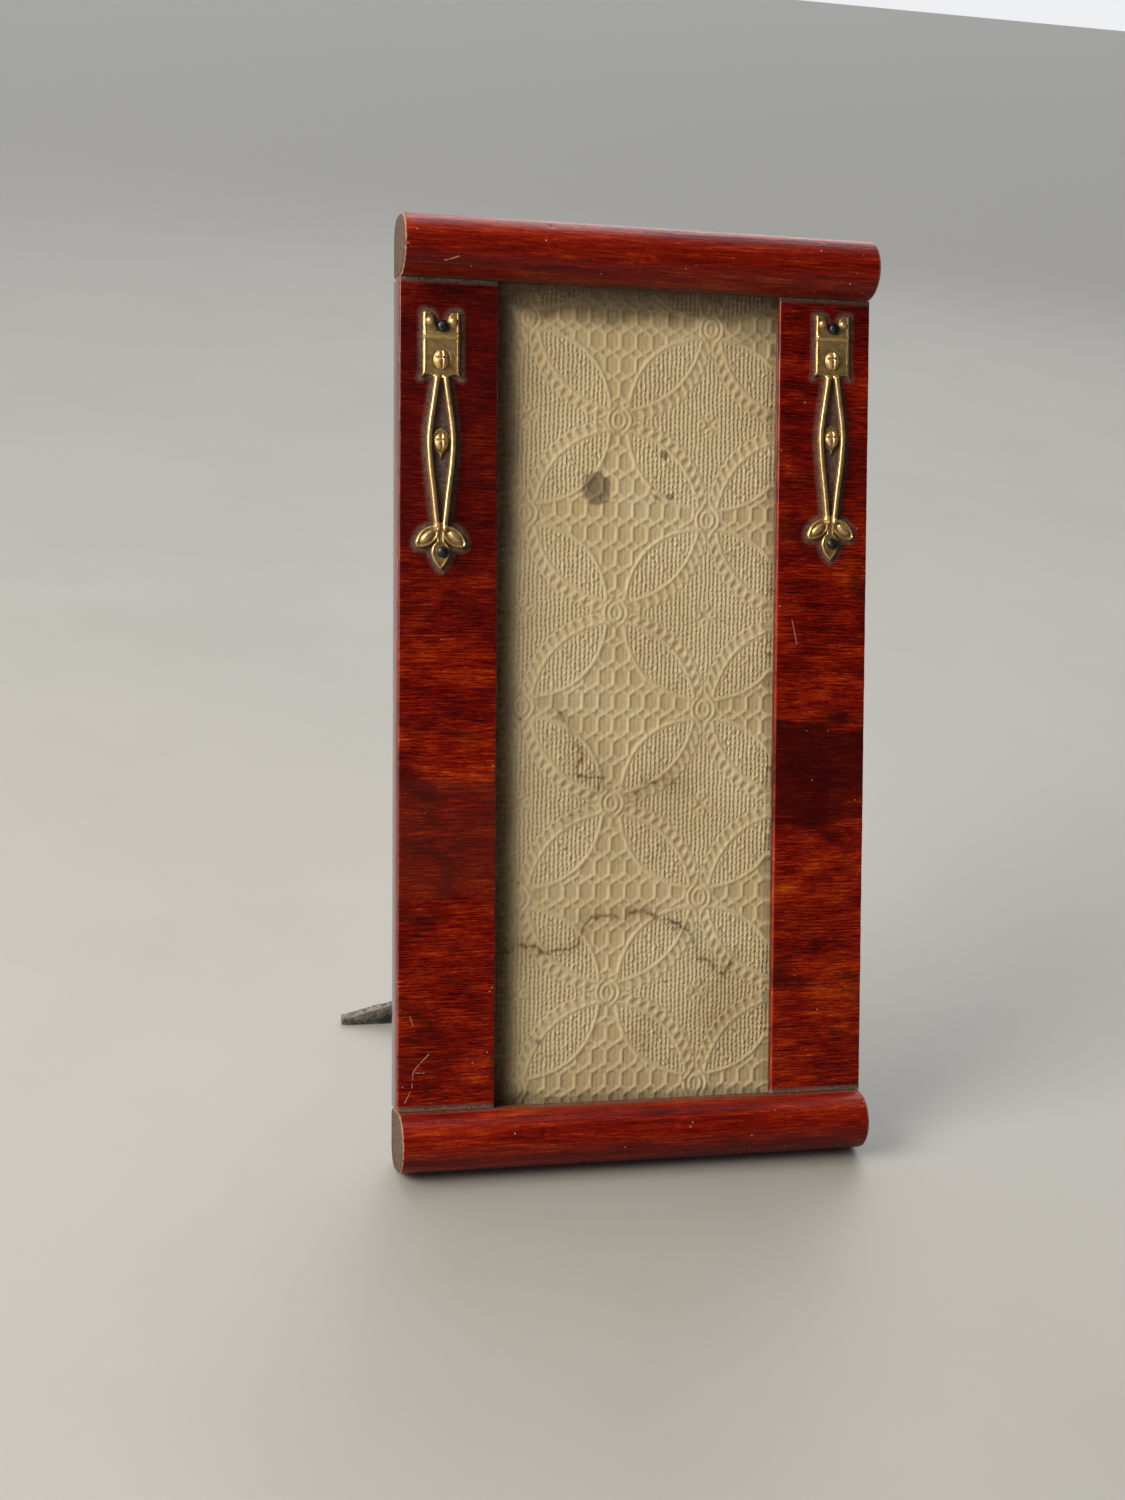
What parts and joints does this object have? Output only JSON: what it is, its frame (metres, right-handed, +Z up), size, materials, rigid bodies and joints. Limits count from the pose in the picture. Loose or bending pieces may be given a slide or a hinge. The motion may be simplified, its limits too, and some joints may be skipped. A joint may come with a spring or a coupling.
{
  "type": "standing desk frame",
  "caption": "Leaning easel-back desk frame: round-nosed rails, cross-veneered stiles with stamped brass mounts, glazed embossed panel, hinged strut.",
  "frame": {"origin": "centre of the underside of the object's own box, on the surface that it stands on", "axes": "+Z up, +X to the right seen from the front, +Y to the back; the frame leans 20 degrees back towards +Y"},
  "size_m": [0.1104, 0.0784, 0.1904],
  "materials": {
    "rail_varnish": "dark red mahogany stain under glossy old shellac, lengthwise grain",
    "cross_veneer": "cross-grained flame veneer, red-orange to near-black, glossy shellac",
    "stile_core": "plain wood, stained, matt at the back",
    "dowel_wood": "raw beech",
    "glass": "clear sheet glass with a little dust",
    "embossed_paper": "khaki embossed paper with brown stains",
    "backing_card": "grey card",
    "back_board": "thin planed board, aged brown",
    "aged_brass": "stamped brass with brown tarnish in its hollows",
    "iron": "dark oxidised iron",
    "strut_cloth": "card covered with black bookcloth, worn grey along its edges"
  },
  "bodies": {
    "frame": {"bottom_rail": "rail_varnish", "top_rail": "rail_varnish", "glass_pane": "glass", "embossed_paper": "embossed_paper", "backing_card": "backing_card", "back_board": "back_board", "hinge_fixed_leaf": "aged_brass", "hinge_pin": "aged_brass", "stile_core_left": "stile_core", "stile_veneer_left": "cross_veneer", "brass_mount_left": "aged_brass", "hinge_rivet_left": "aged_brass", "dowel_upper_left": "dowel_wood", "mount_nail_upper_left": "iron", "button_screw_upper_left": "aged_brass", "dowel_lower_left": "dowel_wood", "mount_nail_lower_left": "iron", "button_screw_lower_left": "aged_brass", "stile_core_right": "stile_core", "stile_veneer_right": "cross_veneer", "brass_mount_right": "aged_brass", "hinge_rivet_right": "aged_brass", "dowel_upper_right": "dowel_wood", "mount_nail_upper_right": "iron", "button_screw_upper_right": "aged_brass", "dowel_lower_right": "dowel_wood", "mount_nail_lower_right": "iron", "button_screw_lower_right": "aged_brass"},
    "strut": {"strut_board": "strut_cloth", "hinge_moving_leaf": "aged_brass", "strut_rivet_left": "aged_brass", "strut_rivet_right": "aged_brass"},
    "button_upper_left": {"turn_button_upper_left": "aged_brass"},
    "button_lower_left": {"turn_button_lower_left": "aged_brass"},
    "button_upper_right": {"turn_button_upper_right": "aged_brass"},
    "button_lower_right": {"turn_button_lower_right": "aged_brass"}
  },
  "joints": [
    {"name": "strut_swing", "type": "hinge", "parent": "frame", "child": "strut", "pos_m": [0, 0.01464, 0.10973], "axis": [1, 0, 0], "range_deg": [-28, 0]},
    {"name": "turn_upper_left", "type": "hinge", "parent": "frame", "child": "button_upper_left", "pos_m": [-0.0395, 0.02318, 0.13962], "axis": [0, 0.9397, -0.342], "continuous": true},
    {"name": "turn_lower_left", "type": "hinge", "parent": "frame", "child": "button_lower_left", "pos_m": [-0.0395, -0.01103, 0.04565], "axis": [0, 0.9397, -0.342], "continuous": true},
    {"name": "turn_upper_right", "type": "hinge", "parent": "frame", "child": "button_upper_right", "pos_m": [0.0395, 0.02318, 0.13962], "axis": [0, 0.9397, -0.342], "continuous": true},
    {"name": "turn_lower_right", "type": "hinge", "parent": "frame", "child": "button_lower_right", "pos_m": [0.0395, -0.01103, 0.04565], "axis": [0, 0.9397, -0.342], "continuous": true}
  ]
}
